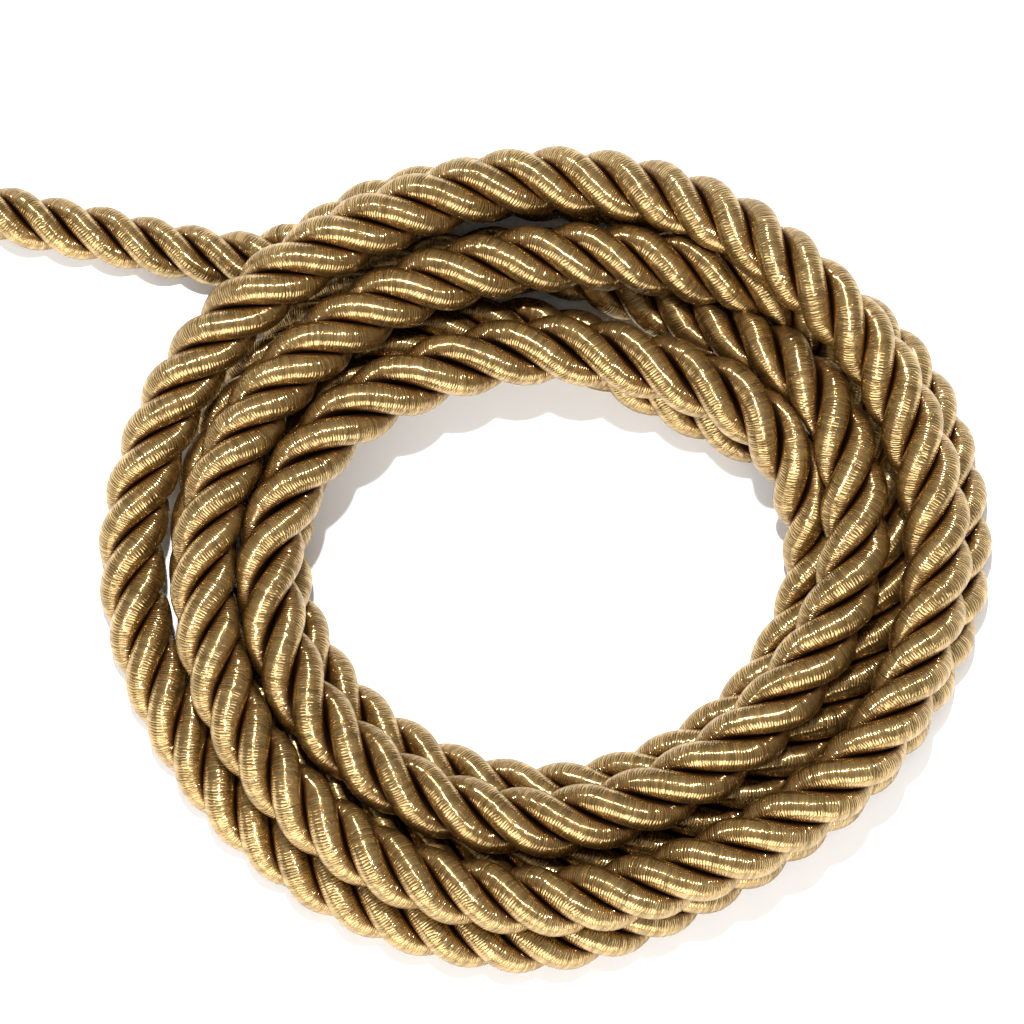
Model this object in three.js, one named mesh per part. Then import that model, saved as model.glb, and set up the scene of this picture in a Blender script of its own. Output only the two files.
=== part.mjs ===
// Twisted cord trim: one length of soft three-ply cord, wound by hand into a low coil of two layers.
// One end lies hidden under the innermost turn and the other runs out along the surface.
import * as THREE from 'three';

// Driving dimensions, in millimetres
const CORD_RADIUS = 4.25;
const LOOSE_RADIUS = 3.55;
const GAP = 0.3;
const COIL_CENTRE = new THREE.Vector2(11.293, -0.883);

// A resting strand sinks a little, so its centreline lies at this share of its radius
const SETTLED_SHARE = 0.894;

// Section: each ply has two crown edges and one groove, all at even angles, with one edge each side of straight down
const PLIES = 3;
const COLUMNS = 3 * PLIES;
const COLUMN_ANGLE = (2 * Math.PI) / COLUMNS;
const FIRST_COLUMN_ANGLE = -Math.PI / 2 - COLUMN_ANGLE / 2;
const GROOVE_SHARE = 0.6;

// Route: one row for each turn of the coil, with one column for each hour of a clock face seen from above,
// from 11 round to 10. reach is the distance from the coil's centre, lift the height above a strand on the
// surface, and lay the length of cord in which its plies go round once.
const HOURS = 12;
const FIRST_HOUR = 11;
const TURNS = [
  {
    lay: 18.0,
    reach: [49.2, 47.7, 47.2, 50.2, 50.4, 46.1, 43.3, 45.9, 46.8, 48.3, 50.4, 48.9],
    lift: [0, 0, 0, 0, 0, 0, 0, 0, 0, 0, 0.6, 5.0],
  },
  {
    lay: 18.6,
    reach: [45.9, 46.4, 45.9, 46.3, 47.5, 46.0, 43.0, 42.5, 42.6, 42.3, 41.0, 38.7],
    lift: [8.2, 8.0, 11.5, 11.0, 7.2, 7.7, 7.9, 7.0, 7.0, 7.2, 7.9, 7.6],
  },
  {
    lay: 18.6,
    reach: [36.7, 36.6, 40.3, 42.3, 42.3, 38.5, 36.4, 37.5, 38.3, 40.1, 42.0, 42.1],
    lift: [7.0, 7.5, 6.8, 0.8, 0, 0, 0, 0, 0, 0, 0, 0],
  },
  {
    lay: 19.6,
    reach: [40.4, 38.2, 35.9, 38.4, 37.4, 33.9, 32.6, 33.0, 33.3, 34.2, 33.4, 29.8],
    lift: [0, 0, 0.8, 7.9, 7.0, 6.8, 6.8, 6.6, 6.8, 7.2, 7.9, 7.7],
  },
  {
    lay: 21.6,
    reach: [26.2, 25.3, 26.5, 31.2, 33.3, 31.1, 29.4, 28.9, 29.1, 30.7, 32.9, 32.6],
    lift: [6.6, 6.8, 7.9, 7.8, 0.6, 0, 0, 0, 0, 0, 0, 0],
  },
  {
    lay: 19.6,
    reach: [31.9, 28.9, 26.4, 31.4],
    lift: [0, 0, 0, 0],
  },
];

// Crossings, where a turn goes over or under its neighbour between two hours
const CROSSINGS = [
  { turn: 0, hour: 10.5, reach: 47.2, lift: 7.6 },
  { turn: 0, hour: 13.5, reach: 47.9, lift: 0 },
  { turn: 1, hour: 13.5, reach: 45.3, lift: 13.4 },
  { turn: 2, hour: 13.5, reach: 43.7, lift: 5.6 },
  { turn: 3, hour: 13.5, reach: 37.0, lift: 5.4 },
];

// Running-out end: its points on the surface from the cut end to the coil, from the coil's centre
const LOOSE_LAY = 17.2;
const LOOSE_POINTS = [
  [-76.5, 46.5], [-73.4, 45.8], [-70.3, 45.1], [-67.1, 44.4], [-64.0, 43.7], [-60.9, 43.0],
  [-57.8, 42.3], [-54.6, 41.7], [-51.5, 41.0], [-48.4, 40.3], [-45.3, 39.7], [-42.2, 39.1],
  [-39.1, 38.7], [-36.3, 38.5], [-33.9, 38.6], [-31.4, 39.2], [-28.2, 40.4],
];
const BLEND_POINTS = 4;

// The running-out end meets the coil under the turn that crosses it, at this ring of its own
const JOIN_RING = 24;
const SAMPLES_PER_KNOT = 16;
const NEIGHBOUR_RUN = 60;

// Material
const CORD_COLOUR = 0xa07f4c;
const CORD_ROUGHNESS = 0.45;

const mix = THREE.MathUtils.lerp;

// Knots of the route, each with its place, its radius and its lay
function looseKnots() {
  const firstBlended = LOOSE_POINTS.length - BLEND_POINTS;
  return LOOSE_POINTS.map(([x, y], index) => {
    const share = Math.max(0, index + 1 - firstBlended) / (BLEND_POINTS + 1);
    const radius = mix(LOOSE_RADIUS, CORD_RADIUS, share);
    return { point: new THREE.Vector3(x, y, radius * SETTLED_SHARE), radius, lay: mix(LOOSE_LAY, TURNS[0].lay, share) };
  });
}

function coilKnot({ turn, hour, reach, lift }) {
  const angle = (hour * 2 * Math.PI) / HOURS;
  const next = TURNS[Math.min(turn + 1, TURNS.length - 1)];
  return {
    order: turn * HOURS + hour,
    point: new THREE.Vector3(reach * Math.sin(angle), reach * Math.cos(angle), CORD_RADIUS * SETTLED_SHARE + lift),
    radius: CORD_RADIUS,
    lay: mix(TURNS[turn].lay, next.lay, (hour - FIRST_HOUR) / HOURS),
  };
}

function coilKnots() {
  const onTheHour = TURNS.flatMap((row, turn) => row.reach.map((reach, column) => (
    coilKnot({ turn, hour: FIRST_HOUR + column, reach, lift: row.lift[column] })
  )));
  const between = CROSSINGS.map((crossing) => coilKnot(fromFirstHour(crossing)));
  return [...onTheHour, ...between].sort((a, b) => a.order - b.order);
}

// A crossing's hour is counted on from 11, so that 13.5 is half past one
function fromFirstHour(crossing) {
  return crossing.hour < FIRST_HOUR ? { ...crossing, hour: crossing.hour + HOURS } : crossing;
}

const knots = [...looseKnots(), ...coilKnots()];
const route = new THREE.CatmullRomCurve3(knots.map((knot) => knot.point), false, 'chordal');

// Samples along the route, with the length and the number of whole lays up to each
function sampleRoute() {
  const count = (knots.length - 1) * SAMPLES_PER_KNOT;
  const samples = [];
  for (let index = 0; index <= count; index += 1) {
    const at = index / SAMPLES_PER_KNOT;
    const low = Math.min(Math.floor(at), knots.length - 2);
    const share = at - low;
    const last = samples[index - 1];
    const point = route.getPoint(index / count);
    const step = last ? point.distanceTo(last.point) : 0;
    const lay = mix(knots[low].lay, knots[low + 1].lay, share);
    samples.push({
      t: index / count,
      point,
      radius: mix(knots[low].radius, knots[low + 1].radius, share),
      length: last ? last.length + step : 0,
      lays: last ? last.lays + step / lay : 0,
    });
  }
  return samples;
}

const samples = sampleRoute();

// A place on the route where one of its running values (length or lays) has the wanted amount
function placeAt(key, wanted) {
  const found = samples.findIndex((sample) => sample[key] >= wanted);
  const high = samples[Math.max(found, 1)];
  const low = samples[Math.max(found, 1) - 1];
  const share = (wanted - low[key]) / (high[key] - low[key]);
  const t = mix(low.t, high.t, share);
  const along = route.getTangent(t);
  const side = new THREE.Vector3(0, 0, 1).cross(along).normalize();
  return {
    point: route.getPoint(t),
    length: mix(low.length, high.length, share),
    radius: mix(low.radius, high.radius, share),
    side,
    up: along.clone().cross(side),
  };
}

// The soft cord is pressed flat where it meets the surface and halfway to each strand that it lies against
function pressPoint(point, centre, neighbours) {
  for (const neighbour of neighbours) {
    const toward = neighbour.clone().sub(centre);
    const room = (toward.length() - GAP) / 2;
    toward.normalize();
    const over = point.clone().sub(centre).dot(toward) - room;
    point.addScaledVector(toward, -Math.max(over, 0));
  }
  point.z = Math.max(point.z, 0);
  return point;
}

function neighboursOf(place) {
  const reach = 2 * CORD_RADIUS + GAP;
  return samples
    .filter((sample) => Math.abs(sample.length - place.length) > NEIGHBOUR_RUN)
    .filter((sample) => sample.point.distanceTo(place.point) < reach)
    .map((sample) => sample.point);
}

// Every third column is a groove, and the two between are the edges of a ply's crown
function sectionShare(column) {
  return column % 3 === 2 ? GROOVE_SHARE : 1;
}

function sectionShape() {
  const corners = Array.from({ length: COLUMNS }, (_, column) => {
    const angle = FIRST_COLUMN_ANGLE + column * COLUMN_ANGLE;
    const share = sectionShare(column);
    return new THREE.Vector2(share * Math.cos(angle), share * Math.sin(angle));
  });
  return new THREE.Shape(corners);
}

// A straight bar of the section with a ring of corners for each ninth of a lay, laid on its stretch of the route
// and turned by one column at each ring, so that the plies run round it as a right-handed screw
function layCord(places) {
  const rings = places.length - 1;
  const geometry = new THREE.ExtrudeGeometry(sectionShape(), { depth: rings, steps: rings, bevelEnabled: false });
  const position = geometry.getAttribute('position');
  const neighbours = places.map(neighboursOf);
  for (let index = 0; index < position.count; index += 1) {
    const ring = Math.round(position.getZ(index));
    const turned = Math.atan2(position.getY(index), position.getX(index)) - FIRST_COLUMN_ANGLE;
    const column = (Math.round(turned / COLUMN_ANGLE) + COLUMNS) % COLUMNS;
    const angle = FIRST_COLUMN_ANGLE + (column + ring) * COLUMN_ANGLE;
    const place = places[ring];
    const radius = place.radius * sectionShare(column);
    const corner = place.point.clone()
      .addScaledVector(place.side, radius * Math.cos(angle))
      .addScaledVector(place.up, radius * Math.sin(angle));
    position.setXYZ(index, ...pressPoint(corner, place.point, neighbours[ring]).toArray());
  }
  geometry.computeVertexNormals();
  return geometry;
}

function ringPlaces(firstRing, lastRing) {
  return Array.from({ length: lastRing - firstRing + 1 }, (_, index) => placeAt('lays', (firstRing + index) / COLUMNS));
}

const material = new THREE.MeshStandardMaterial({ color: CORD_COLOUR, roughness: CORD_ROUGHNESS, metalness: 0 });

function cordMesh(name, places) {
  const mesh = new THREE.Mesh(layCord(places), material);
  mesh.name = name;
  return mesh;
}

const allRings = Math.floor(samples[samples.length - 1].lays * COLUMNS);
const loosePlaces = ringPlaces(0, JOIN_RING);
const coilPlaces = ringPlaces(JOIN_RING, allRings);
coilPlaces[0] = placeAt('length', loosePlaces[JOIN_RING].length + GAP);

const trim = new THREE.Group();
trim.name = 'twisted_cord_trim';
trim.position.set(COIL_CENTRE.x, COIL_CENTRE.y, 0);
trim.add(cordMesh('coil', coilPlaces));
trim.add(cordMesh('loose_end', loosePlaces));

export default trim;
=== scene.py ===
import bpy
import numpy as np
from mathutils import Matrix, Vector


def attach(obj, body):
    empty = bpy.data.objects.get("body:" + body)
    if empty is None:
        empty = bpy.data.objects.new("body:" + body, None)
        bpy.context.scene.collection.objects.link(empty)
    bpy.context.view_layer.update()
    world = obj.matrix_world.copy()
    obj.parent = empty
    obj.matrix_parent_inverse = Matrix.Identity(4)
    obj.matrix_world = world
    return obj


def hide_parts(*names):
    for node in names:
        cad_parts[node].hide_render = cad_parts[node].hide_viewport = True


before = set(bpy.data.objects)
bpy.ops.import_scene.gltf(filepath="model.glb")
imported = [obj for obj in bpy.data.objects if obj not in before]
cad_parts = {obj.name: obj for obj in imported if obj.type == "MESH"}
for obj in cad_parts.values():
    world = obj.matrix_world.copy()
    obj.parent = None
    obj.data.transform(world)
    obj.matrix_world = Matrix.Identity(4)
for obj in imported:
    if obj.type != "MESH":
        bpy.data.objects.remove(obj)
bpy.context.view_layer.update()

bl_info = {
    "name": "Twisted cord trim",
    "version": (1, 0, 0),
    "blender": (4, 5, 0),
    "location": "3D View > Sidebar > Cord trim",
    "description": "Lays three wrapped plies along the route of a coiled furnishing cord",
    "category": "Add Mesh",
}

MM = 0.001

# Cord, in millimetres
CORD_RADIUS = 4.25
LOOSE_RADIUS = 3.55
COIL_CENTRE = np.array([11.293, -0.883, 0.0])
# Height of the centreline of a strand on the surface, as a share of its radius
SETTLED_SHARE = 0.894

# Plies: shares of the cord's radius, and the way round at which the first one starts
PLIES = 3
PLY_CENTRE_SHARE = 0.565
PLY_RADIUS_SHARE = 0.438
CROWN_START = -0.5 * np.pi
# Swells of a ply: share of its thickness, millimetres along it for each radian, radians from ply to ply
PLY_SWELLS = [(0.014, 3.1, 2.1), (0.012, 7.7, 4.0)]

# Route, in millimetres: a row for each turn, a column for each hour of a clock face, from 11 round to 10
HOURS = 12
FIRST_HOUR = 11
# Length of one twist at the start of each turn
TURN_LAY = [18.0, 18.6, 18.6, 19.6, 21.6, 19.6]
# Distance from the coil's centre
TURN_REACH = [
    [49.2, 47.7, 47.2, 50.2, 50.4, 46.1, 43.3, 45.9, 46.8, 48.3, 50.4, 48.9],
    [45.9, 46.4, 45.9, 46.3, 47.5, 46.0, 43.0, 42.5, 42.6, 42.3, 41.0, 38.7],
    [36.7, 36.6, 40.3, 42.3, 42.3, 38.5, 36.4, 37.5, 38.3, 40.1, 42.0, 42.1],
    [40.4, 38.2, 35.9, 38.4, 37.4, 33.9, 32.6, 33.0, 33.3, 34.2, 33.4, 29.8],
    [26.2, 25.3, 26.5, 31.2, 33.3, 31.1, 29.4, 28.9, 29.1, 30.7, 32.9, 32.6],
    [31.9, 28.9, 26.4, 31.4],
]
# Lift off the surface
TURN_LIFT = [
    [0, 0, 0, 0, 0, 0, 0, 0, 0, 0, 0.6, 5.0],
    [8.2, 8.0, 11.5, 11.0, 7.2, 7.7, 7.9, 7.0, 7.0, 7.2, 7.9, 7.6],
    [7.0, 7.5, 6.8, 0.8, 0, 0, 0, 0, 0, 0, 0, 0],
    [0, 0, 0.8, 7.9, 7.0, 6.8, 6.8, 6.6, 6.8, 7.2, 7.9, 7.7],
    [6.6, 6.8, 7.9, 7.8, 0.6, 0, 0, 0, 0, 0, 0, 0],
    [0, 0, 0, 0],
]
# Crossings: turn, hour counted on past 12, distance from the centre, lift
CROSSINGS = [
    (0, 22.5, 47.2, 7.6),
    (0, 13.5, 47.9, 0.0),
    (1, 13.5, 45.3, 13.4),
    (2, 13.5, 43.7, 5.6),
    (3, 13.5, 37.0, 5.4),
]
# Running-out end: its points on the surface, from the cut end to the coil
LOOSE_LAY = 17.2
LOOSE_POINTS = [
    (-76.5, 46.5), (-73.4, 45.8), (-70.3, 45.1), (-67.1, 44.4), (-64.0, 43.7), (-60.9, 43.0),
    (-57.8, 42.3), (-54.6, 41.7), (-51.5, 41.0), (-48.4, 40.3), (-45.3, 39.7), (-42.2, 39.1),
    (-39.1, 38.7), (-36.3, 38.5), (-33.9, 38.6), (-31.4, 39.2), (-28.2, 40.4),
]
BLEND_POINTS = 4
# Knots of the route: samples from each to the next, and two of their columns
SAMPLES_PER_KNOT = 16
RADIUS_COLUMN = 3
LAY_COLUMN = 4
# Rings of the solids, at which the running-out end stops and the hidden end is cut
RINGS_PER_LAY = 9
JOIN_RING = 24

# Give of the soft cord, in millimetres
NEIGHBOUR_GAP = 0.1
PRESS_SOFTNESS = 0.22
# Length of its own run over which a strand is no neighbour of itself, and how far off others still count
NEIGHBOUR_RUN = 60.0
NEIGHBOUR_REACH = 12.0
NEIGHBOUR_COUNT = 6
# Depth of the place that stands in where no neighbour is near
FAR_BELOW = 1000.0

# Fineness of the ply surfaces
COIL_RINGS = 4000
LOOSE_RINGS = 160
PLY_CORNERS = 24
# Place on the map that each triangle of a cut face takes, on a thread of the crown
CAP_MAP = [(0.0, 0.48), (0.0, 0.52), (0.0008, 0.5)]

# Noise over a ply: length of a cell in metres, number of cells round the ply, detail
WAVER = (0.0016, 5.0, 1.0)
BUNDLE = (0.0007, 3.0, 2.0)
FUZZ = (0.00030, 12.0, 1.0)
FIBRE = (0.00011, 4.0, 1.0)
WAVER_THREADS = 1.6

# Shares of each pattern in the tone, in the height of the bump and in the gloss; the tone between threads
# is painted shade in the dips between them
TONE_OF_THREAD = 0.55
TONE_OF_BUNDLE = 0.75
TONE_IN_PAINTED_SHADE_BETWEEN_THREADS = 0.4
HEIGHT_OF_RIDGE = 0.5
HEIGHT_OF_FIBRE = 0.55
HEIGHT_OF_BUNDLE = 0.4
HEIGHT_OF_FUZZ = 0.22
GLOSS_EVERYWHERE = 0.10
GLOSS_OF_THREAD = 0.20
GLOSS_OF_BUNDLE = 0.32

# Grooves, painted shade with a painted warm reflection of the neighbouring plies, and near-black painted
# shade where plies touch: the distance from the crown, as a share of the way round, times the first number,
# less the second
CROWN = 0.5
PAINTED_GROOVE_SHADE_RAMP = (10.0, 1.5)
PAINTED_CONTACT_SHADE_RAMP = (16.0, 3.4)

# Sheen and gloss
SHEEN_METALLIC = 0.95
SHEEN_ROUGHNESS = 0.55
GLOSS_METALLIC = 1.0

# Camera: the photograph's framing, in its own pixels and in millimetres at the coil
PHOTO_SIZE = 1024
PIXELS_PER_MM = 8.2
VIEW_ELEVATION = np.radians(78.0)
VIEW_DISTANCE = 620.0
COIL_IN_PHOTO = np.array([545.0, 560.0])
LOOK_HEIGHT = 6.0
SENSOR_WIDTH = 36.0

# Stage, in metres: the camera's nearest and farthest, the floor, and each light's place and size
CLIP_START = 0.01
CLIP_END = 10.0
FLOOR_HALF = 3.0
FLOOR_ROUGHNESS = 0.9
FRONT_LIGHT = [(-0.10, -0.80, 0.42), (1.2, 0.50)]
LINE_LIGHT = [(-0.03, 0.20, 0.90), (0.05, 0.05)]
WHITE = (1.0, 1.0, 1.0, 1.0)


class CordSettings(bpy.types.PropertyGroup):
    """Finish of the wrapped plies"""

    light_colour: bpy.props.FloatVectorProperty(
        name="Light thread", description="Colour of the brightest wrapped threads",
        subtype="COLOR", size=3, min=0.0, max=1.0, default=(0.18, 0.099, 0.027))
    dark_colour: bpy.props.FloatVectorProperty(
        name="Dark thread", description="Colour of the darkest wrapped threads",
        subtype="COLOR", size=3, min=0.0, max=1.0, default=(0.035, 0.019, 0.005))
    # Painted shade with a painted warm reflection of the neighbouring plies, on the threads deep between
    # two plies
    painted_groove_shade_colour: bpy.props.FloatVectorProperty(
        name="Painted groove shade", description="Colour of the threads deep between two plies",
        subtype="COLOR", size=3, min=0.0, max=1.0, default=(0.15, 0.060, 0.012))
    # Painted shade: near-black where two plies touch
    painted_contact_shade_colour: bpy.props.FloatVectorProperty(
        name="Deep groove", description="Colour where two plies touch",
        subtype="COLOR", size=3, min=0.0, max=1.0, default=(0.02, 0.008, 0.002))
    gloss_colour: bpy.props.FloatVectorProperty(
        name="Gloss", description="Colour of the sharp gloss of the thread",
        subtype="COLOR", size=3, min=0.0, max=1.0, default=(0.70, 0.50, 0.225))
    thread_pitch: bpy.props.FloatProperty(
        name="Thread pitch", description="Width of one wrapped thread along its ply",
        unit="LENGTH", min=0.0001, max=0.001, default=0.00029)
    thread_relief: bpy.props.FloatProperty(
        name="Thread relief", description="Height of one wrapped thread over the groove beside it",
        unit="LENGTH", min=0.0, max=0.0005, default=0.00009)
    roughness: bpy.props.FloatProperty(
        name="Roughness", description="Roughness of the satin thread",
        subtype="FACTOR", min=0.0, max=1.0, default=0.13)


class StageSettings(bpy.types.PropertyGroup):
    """Floor and studio lights"""

    floor_colour: bpy.props.FloatVectorProperty(
        name="Floor", description="Colour of the plain floor",
        subtype="COLOR", size=3, min=0.0, max=1.0, default=(0.95, 0.95, 0.95))
    front_power: bpy.props.FloatProperty(
        name="Front light", description="Power of the long soft light low in front of the coil",
        unit="POWER", min=0.0, max=1000.0, default=12.5)
    line_power: bpy.props.FloatProperty(
        name="Line light",
        description="Power of the small high light that draws a bright line along each ply",
        unit="POWER", min=0.0, max=1000.0, default=17.0)
    sky_strength: bpy.props.FloatProperty(
        name="Sky", description="Strength of the even light from all round",
        min=0.0, max=10.0, default=0.45)


# Route of the cord, as whole arrays in millimetres
def clock_point(hour, reach, height):
    """Point on a clock face seen from above: x = reach sin a, y = reach cos a, with a twelfth of a turn
    for each hour."""
    angle = 2 * np.pi * hour / HOURS
    return np.stack([reach * np.sin(angle), reach * np.cos(angle), height], axis=-1)


def coil_knots():
    """Knots of the coil in order: columns x, y, z, radius, lay. The lay runs evenly from each turn's to
    the next."""
    rows = [
        (turn, FIRST_HOUR + column, reach, lift)
        for turn in range(len(TURN_REACH))
        for column, (reach, lift) in enumerate(zip(TURN_REACH[turn], TURN_LIFT[turn]))
    ]
    table = np.array(sorted(rows + CROSSINGS, key=lambda row: HOURS * row[0] + row[1]))
    turn = table[:, 0]
    hour = table[:, 1]
    points = clock_point(hour, table[:, 2], CORD_RADIUS * SETTLED_SHARE + table[:, 3])
    lays = np.interp(turn + (hour - FIRST_HOUR) / HOURS, np.arange(len(TURN_LAY)), TURN_LAY)
    return np.column_stack([points, np.full(len(table), CORD_RADIUS), lays])


def loose_knots():
    """Knots of the running-out end, whose radius and lay run into the coil's over its last few points."""
    count = len(LOOSE_POINTS)
    share = np.clip(np.arange(count) + 1 - (count - BLEND_POINTS), 0, None) / (BLEND_POINTS + 1)
    radius = LOOSE_RADIUS + (CORD_RADIUS - LOOSE_RADIUS) * share
    lays = LOOSE_LAY + (TURN_LAY[0] - LOOSE_LAY) * share
    return np.column_stack([LOOSE_POINTS, radius * SETTLED_SHARE, radius, lays])


class Route:
    """The cord's centreline as one smooth curve, with its radius, its length and its number of lays"""

    def __init__(self, knots):
        self.knots = knots
        points = knots[:, :3]
        ends = 2 * points[[0, -1]] - points[[1, -2]]
        padded = np.vstack([ends[:1], points, ends[1:]])
        chord = np.linalg.norm(np.diff(padded, axis=0), axis=1)[:, None]
        slope = np.diff(padded, axis=0) / chord
        across = (padded[2:] - padded[:-2]) / (chord[:-1] + chord[1:])
        self.chord = chord[1:-1]
        self.slope = slope[:-1] - across + slope[1:]
        self.at = np.arange((len(knots) - 1) * SAMPLES_PER_KNOT + 1) / SAMPLES_PER_KNOT
        samples = self.point(self.at)
        steps = np.linalg.norm(np.diff(samples, axis=0), axis=1)
        self.length = np.concatenate([[0], np.cumsum(steps)])
        self.lays = np.concatenate([[0], np.cumsum(steps / self.value(self.at, LAY_COLUMN)[1:])])

    def value(self, at, column):
        """A column of the knots (radius or lay) at knot numbers, straight from each knot to the next."""
        return np.interp(at, np.arange(len(self.knots)), self.knots[:, column])

    def point(self, at):
        """Chordal Catmull-Rom curve: a cubic from knot to knot, whose slope at a knot is the slopes of its
        two chords added, less the slope of the chord across them."""
        low = np.clip(np.floor(at).astype(int), 0, len(self.knots) - 2)
        share = (at - low)[:, None]
        start = self.knots[low, :3]
        stop = self.knots[low + 1, :3]
        leave = self.slope[low] * self.chord[low]
        arrive = self.slope[low + 1] * self.chord[low]
        square = -3 * start + 3 * stop - 2 * leave - arrive
        cube = 2 * start - 2 * stop + leave + arrive
        return start + share * (leave + share * (square + share * cube))

    def stretch(self, first, last, rings):
        """Rings at even steps between two lengths: length, lays so far, centre, radius, and directions
        along, to the side and up."""
        length = np.linspace(first, last, rings)
        at = np.interp(length, self.length, self.at)
        centre = self.point(at)
        along = np.gradient(centre, axis=0)
        along /= np.linalg.norm(along, axis=1)[:, None]
        side = np.cross([0.0, 0.0, 1.0], along)
        side /= np.linalg.norm(side, axis=1)[:, None]
        return {
            "length": length,
            "lays": np.interp(length, self.length, self.lays),
            "centre": centre,
            "radius": self.value(at, RADIUS_COLUMN)[:, None],
            "along": along,
            "side": side,
            "up": np.cross(along, side),
        }


ROUTE = Route(np.vstack([loose_knots(), coil_knots()]))
JOIN_LENGTH = np.interp(JOIN_RING / RINGS_PER_LAY, ROUTE.lays, ROUTE.length)
ALL_LENGTH = np.interp(np.floor(ROUTE.lays[-1] * RINGS_PER_LAY) / RINGS_PER_LAY, ROUTE.lays, ROUTE.length)


def neighbours(rings):
    """Feet on the other strands that lie against each ring. Each starts as the nearest sample of the route,
    which has about one for each millimetre, that is not on the ring's own run or on one already found, and
    is slid along its strand to stand square to it. Where none is near, the foot is far below."""
    samples = ROUTE.stretch(0, ALL_LENGTH, int(ALL_LENGTH))
    centre = rings["centre"]
    away = np.linalg.norm(centre[:, None, :] - samples["centre"][None, :, :], axis=2)
    away[np.abs(rings["length"][:, None] - samples["length"][None, :]) < NEIGHBOUR_RUN] = np.inf
    found = []
    for _ in range(NEIGHBOUR_COUNT):
        nearest = np.argmin(away, axis=1)
        foot = samples["centre"][nearest]
        along = samples["along"][nearest]
        foot = foot + np.sum((centre - foot) * along, axis=1)[:, None] * along
        near = (np.min(away, axis=1) < NEIGHBOUR_REACH)[:, None]
        found.append(np.where(near, foot, centre - [0.0, 0.0, FAR_BELOW]))
        own = samples["length"][nearest]
        away[np.abs(own[:, None] - samples["length"][None, :]) < NEIGHBOUR_RUN] = np.inf
    return found


def soft_limit(value, limit):
    """Value that bends smoothly under its limit: limit - k log(1 + exp((limit - value) / k))."""
    return limit - PRESS_SOFTNESS * np.logaddexp(0, (limit - value) / PRESS_SOFTNESS)


def press(points, rings):
    """Points of rings x corners, kept on their own side of the halfway plane to each neighbouring strand,
    and above the surface."""
    centre = rings["centre"][:, None, :]
    for foot in neighbours(rings):
        toward = foot[:, None, :] - centre
        distance = np.linalg.norm(toward, axis=2, keepdims=True)
        toward = toward / distance
        depth = np.sum((points - centre) * toward, axis=2, keepdims=True)
        room = (distance - NEIGHBOUR_GAP) / 2
        points = points + (soft_limit(depth, room) - depth) * toward
    points[:, :, 2] = -soft_limit(-points[:, :, 2], 0)
    return points


# Plies
def ply_surface(rings, number):
    """A tube round a screw line: the ply's centre goes round the cord's once for each lay, right-handed,
    and its section is a circle square to its own path, whose first corner faces the cord's middle. Its
    thickness swells and thins a little along it. Returns points of rings x corners, and the length along
    the ply at each ring."""
    turn = CROWN_START + 2 * np.pi * (number / PLIES + rings["lays"])[:, None]
    outward = np.cos(turn) * rings["side"] + np.sin(turn) * rings["up"]
    length = rings["length"][:, None]
    swell = 1 + sum(
        share * np.sin(length / stretch + shift * number) for share, stretch, shift in PLY_SWELLS)
    path = rings["centre"] + PLY_CENTRE_SHARE * rings["radius"] * outward
    along = np.gradient(path, axis=0)
    along /= np.linalg.norm(along, axis=1)[:, None]
    outward = outward - np.sum(outward * along, axis=1)[:, None] * along
    outward /= np.linalg.norm(outward, axis=1)[:, None]
    across = np.cross(along, outward)
    corner = (np.pi + 2 * np.pi * np.arange(PLY_CORNERS) / PLY_CORNERS)[None, :, None]
    radius = (PLY_RADIUS_SHARE * rings["radius"] * swell)[:, :, None]
    direction = np.cos(corner) * outward[:, None] + np.sin(corner) * across[:, None]
    points = path[:, None, :] + radius * direction
    run = np.concatenate([[0], np.cumsum(np.linalg.norm(np.diff(path, axis=0), axis=1))])
    return press(points, rings), run


def tube_parts(points, run, base):
    """Vertices, faces and map of one tube: a grid of rings x corners closed round, then a fan of triangles
    over each end. Its vertices are numbered from the base on."""
    rings, corners = points.shape[:2]
    middles = np.stack([points[0].mean(axis=0), points[-1].mean(axis=0)])
    vertices = np.vstack([points.reshape(-1, 3), middles])
    ring = np.arange(rings - 1)[:, None]
    corner = np.arange(corners)[None, :]
    here = base + ring * corners + corner
    beside = base + ring * corners + (corner + 1) % corners
    sides = np.stack([here, beside, beside + corners, here + corners], axis=-1).reshape(-1, 4)
    start_run = run[:-1, None]
    stop_run = run[1:, None]
    along = np.stack([start_run, start_run, stop_run, stop_run], axis=-1)
    way = np.stack([corner, corner + 1, corner + 1, corner], axis=-1) / corners
    side_map = np.stack(np.broadcast_arrays(along * MM, way), axis=-1).reshape(-1, 2)
    first = base + np.arange(corners)
    last = first + (rings - 1) * corners
    middle = np.full(corners, base + rings * corners)
    start = np.stack([np.roll(first, -1), first, middle], axis=-1)
    stop = np.stack([last, np.roll(last, -1), middle + 1], axis=-1)
    cap_map = np.tile(CAP_MAP, (2 * corners, 1))
    return vertices, [sides, np.vstack([start, stop])], [side_map, cap_map]


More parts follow.
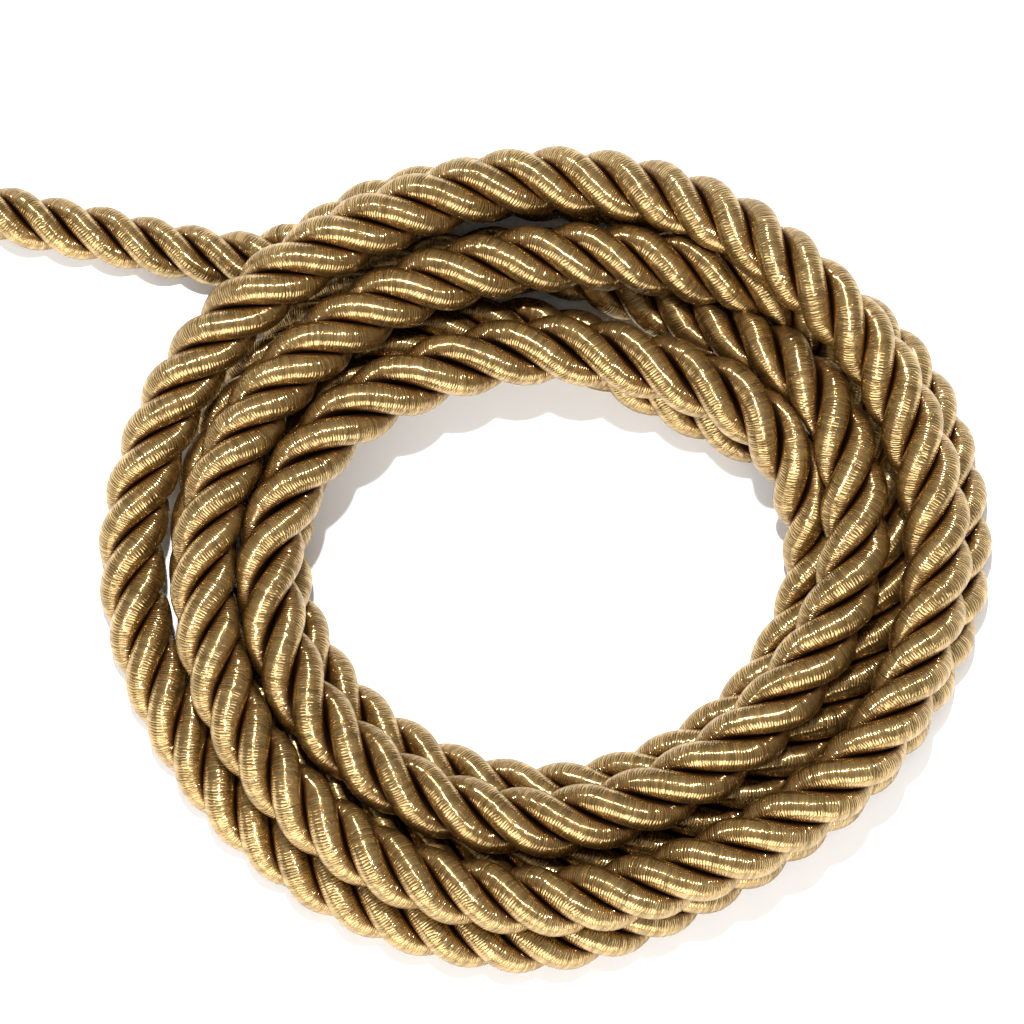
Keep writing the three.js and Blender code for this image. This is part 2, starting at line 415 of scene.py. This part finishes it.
def tube_mesh(name, tubes):
    """Mesh of tubes. The map's first value is the length along the ply in metres, and its second the way
    round from 0 to 1, from the cord's middle over the crown at 0.5."""
    vertices = []
    faces = []
    maps = []
    base = 0
    for points, run in tubes:
        tube_vertices, tube_faces, tube_maps = tube_parts(points, run, base)
        vertices.append(tube_vertices)
        faces.extend(tube_faces)
        maps.extend(tube_maps)
        base += len(tube_vertices)
    vertices = (np.vstack(vertices) + COIL_CENTRE) * MM
    loops = np.concatenate([part.ravel() for part in faces])
    sizes = np.concatenate([np.full(len(part), part.shape[1]) for part in faces])
    mesh = bpy.data.meshes.new(name)
    mesh.vertices.add(len(vertices))
    mesh.vertices.foreach_set("co", vertices.ravel())
    mesh.loops.add(len(loops))
    mesh.loops.foreach_set("vertex_index", loops)
    mesh.polygons.add(len(sizes))
    mesh.polygons.foreach_set("loop_start", np.concatenate([[0], np.cumsum(sizes)[:-1]]))
    mesh.update(calc_edges=True)
    mesh.uv_layers.new(name="ply").data.foreach_set("uv", np.vstack(maps).ravel())
    mesh.polygons.foreach_set("use_smooth", sizes == 4)
    mesh.validate()
    return mesh


def add_piece(name, tubes, material, node):
    """A piece on the root body that stands for one of the solids."""
    piece = bpy.data.objects.new(name, tube_mesh(name, tubes))
    bpy.context.scene.collection.objects.link(piece)
    piece.data.materials.append(material)
    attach(piece, "root")
    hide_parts(node)
    return piece


# Material
class Signal:
    """A socket of a material: an expression on signals and numbers adds its Math nodes"""

    def __init__(self, tree, socket=None):
        self.tree = tree
        self.socket = socket

    def node(self, kind, settings=None, sockets=None, output=0):
        """Adds a node, sets its settings first, then the values or links of its sockets, and returns one
        output."""
        made = self.tree.nodes.new(kind)
        for name, value in (settings or {}).items():
            setattr(made, name, value)
        for name, value in (sockets or {}).items():
            if isinstance(value, Signal):
                self.tree.links.new(value.socket, made.inputs[name])
            else:
                made.inputs[name].default_value = value
        return Signal(self.tree, made.outputs[output]) if made.outputs else None

    def math(self, operation, second=0.0, clamp=False):
        """A Math node with this signal first."""
        settings = {"operation": operation, "use_clamp": clamp}
        return self.node("ShaderNodeMath", settings, {0: self, 1: second})

    def __add__(self, other):
        return self.math("ADD", other)

    def __sub__(self, other):
        return self.math("SUBTRACT", other)

    def __rsub__(self, other):
        return self.node("ShaderNodeMath", {"operation": "SUBTRACT"}, {0: other, 1: self})

    def __mul__(self, other):
        return self.math("MULTIPLY", other)

    def __truediv__(self, other):
        return self.math("DIVIDE", other)

    __radd__ = __add__
    __rmul__ = __mul__

    def ramp(self, gain, start):
        """This signal times the gain, less the start, held between 0 and 1."""
        return (self * gain).math("SUBTRACT", start, clamp=True)

    def mix(self, low, high):
        """Colour between two others, by this signal as the share of the second."""
        return self.node("ShaderNodeMix", {"data_type": "RGBA"}, {0: self, 6: low, 7: high}, output=2)


def opaque(colour):
    """The colour with full opacity."""
    return (*colour, 1.0)


def cord_material(settings):
    """Satin thread wrapped crosswise round each ply: fine ridges along the map's first value, each thread
    with a tone of its own, wavering a little, darker in the dips between threads as painted shade, and a
    redder, then darker colour towards the cord's middle, which is painted shade with a painted warm
    reflection of the neighbouring plies in the grooves. A soft sheen and a sharp gloss share the surface,
    thread by thread."""
    material = bpy.data.materials.new("wrapped_satin_cord")
    material.use_nodes = True
    tree = material.node_tree
    tree.nodes.clear()
    shader = Signal(tree)
    place = shader.node("ShaderNodeUVMap", {"uv_map": "ply"})
    along = shader.node("ShaderNodeSeparateXYZ", sockets={0: place})
    around = Signal(tree, along.socket.node.outputs[1])

    def streaks(cell, count, detail):
        """Noise in cells of a length along the ply and a number of cells round it."""
        vector = shader.node("ShaderNodeCombineXYZ", sockets={0: along / cell, 1: around * count})
        sockets = {"Vector": vector, "Scale": 1.0, "Detail": detail}
        return shader.node("ShaderNodeTexNoise", {"noise_dimensions": "2D"}, sockets)

    bundle = streaks(*BUNDLE)
    thread_number = along / settings.thread_pitch + streaks(*WAVER) * WAVER_THREADS
    thread_floor = thread_number.math("FLOOR")
    thread_tone = shader.node("ShaderNodeTexWhiteNoise", {"noise_dimensions": "1D"}, {"W": thread_floor})
    ridge = (thread_number * np.pi).math("SINE").math("ABSOLUTE")
    # Painted shade: the tone falls in the dips between the thread ridges
    painted_shade_between_threads = TONE_IN_PAINTED_SHADE_BETWEEN_THREADS + (1 - TONE_IN_PAINTED_SHADE_BETWEEN_THREADS) * ridge
    tone = (thread_tone * TONE_OF_THREAD + bundle * TONE_OF_BUNDLE) * painted_shade_between_threads
    from_crown = (around - CROWN).math("ABSOLUTE")
    # Painted groove shade: redder, darker threads towards the cord's middle, standing in for shade and a
    # warm reflection of the neighbouring plies
    groove = from_crown.ramp(*PAINTED_GROOVE_SHADE_RAMP)
    # Painted shade where two plies touch: near-black
    painted_contact_shade = from_crown.ramp(*PAINTED_CONTACT_SHADE_RAMP)
    # Body colour by a tone that holds the threads' own random tone and the painted shade between threads
    body = tone.mix(opaque(settings.dark_colour), opaque(settings.light_colour))
    colour = painted_contact_shade.mix(groove.mix(body, opaque(settings.painted_groove_shade_colour)), opaque(settings.painted_contact_shade_colour))
    fine = streaks(*FIBRE) * HEIGHT_OF_FIBRE + streaks(*FUZZ) * HEIGHT_OF_FUZZ
    height = ridge * HEIGHT_OF_RIDGE + bundle * HEIGHT_OF_BUNDLE + fine
    bump = shader.node("ShaderNodeBump", sockets={
        "Strength": 1.0, "Distance": settings.thread_relief, "Height": height})
    sheen = shader.node("ShaderNodeBsdfPrincipled", sockets={
        "Base Color": colour, "Metallic": SHEEN_METALLIC, "Roughness": SHEEN_ROUGHNESS, "Normal": bump})
    gloss = shader.node("ShaderNodeBsdfPrincipled", sockets={
        "Base Color": opaque(settings.gloss_colour), "Metallic": GLOSS_METALLIC,
        "Roughness": settings.roughness, "Normal": bump})
    # The gloss fades out where the plies touch, under the painted shade there
    share = (GLOSS_EVERYWHERE + thread_tone * GLOSS_OF_THREAD + bundle * GLOSS_OF_BUNDLE) * (1 - painted_contact_shade)
    surface = shader.node("ShaderNodeMixShader", sockets={0: share, 1: sheen, 2: gloss})
    shader.node("ShaderNodeOutputMaterial", sockets={"Surface": surface})
    return material


# Stage
def floor_material(settings):
    """Plain matt floor of one colour."""
    material = bpy.data.materials.new("plain_floor")
    material.use_nodes = True
    surface = material.node_tree.nodes["Principled BSDF"]
    surface.inputs["Base Color"].default_value = opaque(settings.floor_colour)
    surface.inputs["Roughness"].default_value = FLOOR_ROUGHNESS
    return material


def add_light(name, place, size, power):
    """A white rectangular light that faces the coil's middle."""
    data = bpy.data.lights.new(name, "AREA")
    data.shape = "RECTANGLE"
    data.size, data.size_y = size
    data.energy = power
    light = bpy.data.objects.new(name, data)
    light.location = place
    light.rotation_euler = Vector(COIL_CENTRE * MM - place).to_track_quat("-Z", "Y").to_euler()
    bpy.context.scene.collection.objects.link(light)


def add_camera():
    """Camera on the photograph's line of sight: the photo's middle is looked at, and the lens follows from
    the pixels that one millimetre takes at the coil."""
    forward = np.array([0.0, np.cos(VIEW_ELEVATION), -np.sin(VIEW_ELEVATION)])
    upward = np.array([0.0, np.sin(VIEW_ELEVATION), np.cos(VIEW_ELEVATION)])
    offset = (0.5 * PHOTO_SIZE - COIL_IN_PHOTO) / PIXELS_PER_MM
    middle = COIL_CENTRE + np.array([0.0, 0.0, LOOK_HEIGHT]) + offset[0] * np.array([1.0, 0.0, 0.0])
    middle = middle - offset[1] * upward
    data = bpy.data.cameras.new("camera")
    data.sensor_width = SENSOR_WIDTH
    data.lens = SENSOR_WIDTH * PIXELS_PER_MM * VIEW_DISTANCE / PHOTO_SIZE
    data.clip_start = CLIP_START
    data.clip_end = CLIP_END
    camera = bpy.data.objects.new("camera", data)
    camera.location = (middle - forward * VIEW_DISTANCE) * MM
    camera.rotation_euler = Vector(forward).to_track_quat("-Z", "Y").to_euler()
    bpy.context.scene.collection.objects.link(camera)
    bpy.context.scene.camera = camera


class CORD_OT_stage(bpy.types.Operator):
    """Adds the camera, the plain floor and the studio lights"""

    bl_idname = "cord_trim.stage"
    bl_label = "Add stage"

    def execute(self, context):
        settings = context.scene.cord_trim_stage
        add_camera()
        mesh = bpy.data.meshes.new("floor")
        corners = [(x * FLOOR_HALF, y * FLOOR_HALF, 0.0) for x, y in ((-1, -1), (1, -1), (1, 1), (-1, 1))]
        mesh.from_pydata(corners, [], [(0, 1, 2, 3)])
        floor = bpy.data.objects.new("floor", mesh)
        context.scene.collection.objects.link(floor)
        floor.data.materials.append(floor_material(settings))
        add_light("front_light", *FRONT_LIGHT, settings.front_power)
        add_light("line_light", *LINE_LIGHT, settings.line_power)
        world = bpy.data.worlds.new("even_light")
        world.use_nodes = True
        background = world.node_tree.nodes["Background"]
        background.inputs["Strength"].default_value = settings.sky_strength
        background.inputs["Color"].default_value = WHITE
        context.scene.world = world
        context.scene.view_settings.view_transform = "Standard"
        return {"FINISHED"}


class CORD_OT_loose_end(bpy.types.Operator):
    bl_idname = "cord_trim.loose_end"
    bl_label = "Lay running-out end"

    def execute(self, context):
        rings = ROUTE.stretch(0, JOIN_LENGTH, LOOSE_RINGS)
        tubes = [ply_surface(rings, number) for number in range(PLIES)]
        material = cord_material(context.scene.cord_trim)
        piece = add_piece("loose_end_plies", tubes, material, "loose_end")
        path = (rings["centre"] + COIL_CENTRE) * MM
        return {"FINISHED"}


class CORD_OT_coil(bpy.types.Operator):
    """Lays the three plies of the coil along its turns"""

    bl_idname = "cord_trim.coil"
    bl_label = "Lay coil"

    def execute(self, context):
        rings = ROUTE.stretch(JOIN_LENGTH, ALL_LENGTH, COIL_RINGS)
        material = cord_material(context.scene.cord_trim)
        for number in range(PLIES):
            add_piece(f"coil_ply_{number + 1}", [ply_surface(rings, number)], material, "coil")
        return {"FINISHED"}


class CORD_PT_panel(bpy.types.Panel):
    """Lists the operators and settings of the cord trim"""

    bl_label = "Cord trim"
    bl_idname = "CORD_PT_panel"
    bl_space_type = "VIEW_3D"
    bl_region_type = "UI"
    bl_category = "Cord trim"

    def draw(self, context):
        for settings in (context.scene.cord_trim, context.scene.cord_trim_stage):
            for name in settings.bl_rna.properties.keys():
                if name not in {"rna_type", "name"}:
                    self.layout.prop(settings, name)
        for operator in (CORD_OT_stage, CORD_OT_loose_end, CORD_OT_coil):
            self.layout.operator(operator.bl_idname)


CLASSES = (CordSettings, StageSettings, CORD_OT_stage, CORD_OT_loose_end, CORD_OT_coil, CORD_PT_panel)


def register():
    for each in CLASSES:
        bpy.utils.register_class(each)
    bpy.types.Scene.cord_trim = bpy.props.PointerProperty(type=CordSettings)
    bpy.types.Scene.cord_trim_stage = bpy.props.PointerProperty(type=StageSettings)


def unregister():
    del bpy.types.Scene.cord_trim_stage
    del bpy.types.Scene.cord_trim
    for each in reversed(CLASSES):
        bpy.utils.unregister_class(each)


def main():
    register()
    bpy.ops.cord_trim.stage()
    bpy.ops.cord_trim.loose_end()
    bpy.ops.cord_trim.coil()


if __name__ == "__main__":
    main()
